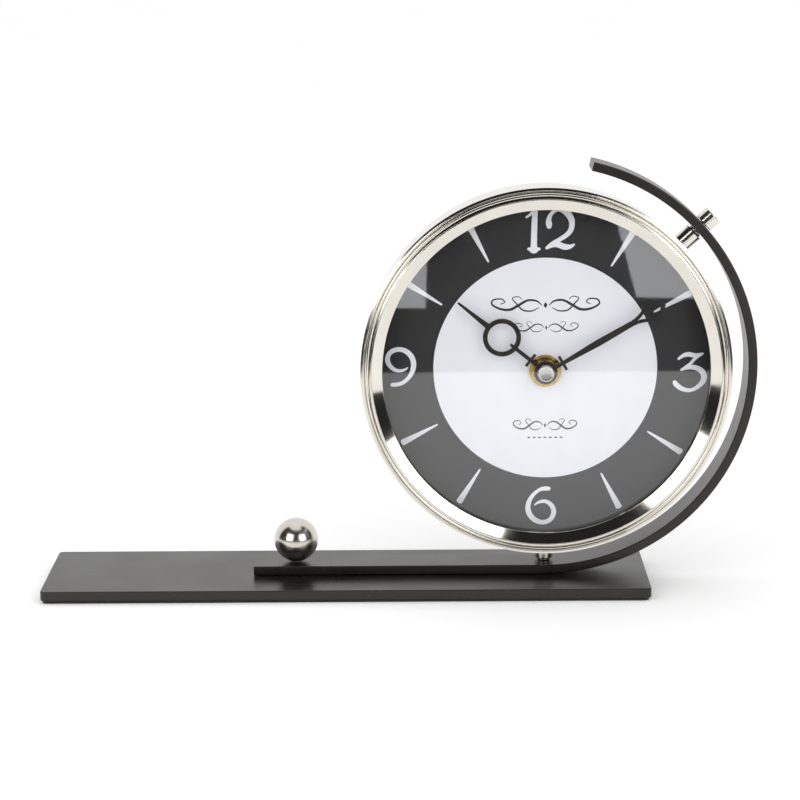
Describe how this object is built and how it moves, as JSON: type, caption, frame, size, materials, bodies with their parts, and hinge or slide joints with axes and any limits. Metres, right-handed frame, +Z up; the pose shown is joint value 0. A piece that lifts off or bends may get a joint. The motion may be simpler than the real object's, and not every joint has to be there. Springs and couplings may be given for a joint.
{
  "type": "mantel clock",
  "caption": "Round nickel drum clock held inside a curled flat black steel bar, with a small metal ball, on a long flat black base.",
  "frame": {"origin": "centre of the object's footprint box, on the surface that it stands on", "axes": "+X to the right along the base, towards the drum; +Y to the back; +Z up"},
  "size_m": [0.353, 0.076, 0.2126],
  "materials": {
    "black_steel": "satin black lacquer",
    "felt_pad": "short black felt",
    "zinc_screw": "zinc plated",
    "satin_nickel": "satin nickel",
    "polished_nickel": "polished nickel",
    "clear_glass": "clear",
    "rubber": "matt",
    "black_plastic": "fine moulded texture",
    "dial_print": "printed, matt",
    "brass": "turned brass",
    "black_hand": "satin black",
    "white_nylon": "moulded nylon",
    "rotor_magnet": "sintered magnet on a plastic arbor",
    "silicon_steel": "pressed sheet",
    "copper_winding": "enamelled copper wire",
    "circuit_board": "coated board",
    "battery_wrap": "printed film"
  },
  "bodies": {
    "clock": {"base_plate": "black_steel", "base_pad": "felt_pad", "arc_bar": "black_steel", "bar_screw_left": "zinc_screw", "bar_screw_right": "zinc_screw", "ball": "satin_nickel", "ball_screw": "zinc_screw", "lower_standoff": "polished_nickel", "lower_standoff_screw": "zinc_screw", "upper_standoff": "polished_nickel", "upper_stud": "zinc_screw", "upper_cap": "polished_nickel", "upper_nut": "zinc_screw", "case_drum": "polished_nickel", "front_bezel": "polished_nickel", "glass": "clear_glass", "glass_gasket": "rubber", "dial_ring": "black_plastic", "dial": "dial_print", "dial_retainer": "zinc_screw", "back_cover": "black_plastic", "cover_screw_1": "zinc_screw", "cover_screw_2": "zinc_screw", "cover_screw_3": "zinc_screw", "cover_screw_4": "zinc_screw", "movement_front": "black_plastic", "movement_rear": "black_plastic", "threaded_bush": "brass", "rubber_washer": "rubber", "brass_washer": "brass", "brass_nut": "brass", "stator": "silicon_steel", "coil": "copper_winding", "circuit_board": "circuit_board", "contact_plus": "zinc_screw", "contact_minus": "zinc_screw"},
    "minute_train": {"minute_arbor": "white_nylon", "minute_hand": "black_hand", "cap_nut": "satin_nickel"},
    "hour_train": {"hour_wheel": "white_nylon", "hour_hand": "black_hand"},
    "motion_wheel": {"motion_wheel": "white_nylon"},
    "third_wheel": {"third_wheel": "white_nylon"},
    "rotor": {"rotor": "rotor_magnet"},
    "set_knob": {"set_knob": "white_nylon"},
    "battery": {"battery": "battery_wrap"}
  },
  "joints": [
    {"name": "minute_spin", "type": "hinge", "parent": "clock", "child": "minute_train", "pos_m": [0.0722, 0, 0.1099], "axis": [0, 1, 0], "continuous": true},
    {"name": "hour_spin", "type": "hinge", "parent": "clock", "child": "hour_train", "pos_m": [0.0722, 0, 0.1099], "axis": [0, 1, 0], "continuous": true},
    {"name": "motion_wheel_spin", "type": "hinge", "parent": "clock", "child": "motion_wheel", "pos_m": [0.08205, 0, 0.11164], "axis": [0, 1, 0], "continuous": true},
    {"name": "third_wheel_spin", "type": "hinge", "parent": "clock", "child": "third_wheel", "pos_m": [0.06285, 0, 0.1153], "axis": [0, 1, 0], "continuous": true},
    {"name": "rotor_spin", "type": "hinge", "parent": "clock", "child": "rotor", "pos_m": [0.06207, 0, 0.12419], "axis": [0, 1, 0], "continuous": true},
    {"name": "set_knob_turn", "type": "hinge", "parent": "clock", "child": "set_knob", "pos_m": [0.08767, 0, 0.12138], "axis": [0, 1, 0], "continuous": true},
    {"name": "battery_out", "type": "slide", "parent": "clock", "child": "battery", "axis": [0, 1, 0], "range_m": [0, 0.02]}
  ],
  "couplings": [
    {"joint": "hour_spin", "follows": "minute_spin", "ratio": 0.083333},
    {"joint": "motion_wheel_spin", "follows": "minute_spin", "ratio": -0.33333},
    {"joint": "third_wheel_spin", "follows": "minute_spin", "ratio": -8},
    {"joint": "rotor_spin", "follows": "minute_spin", "ratio": 60},
    {"joint": "set_knob_turn", "follows": "minute_spin", "ratio": 0.66667}
  ]
}
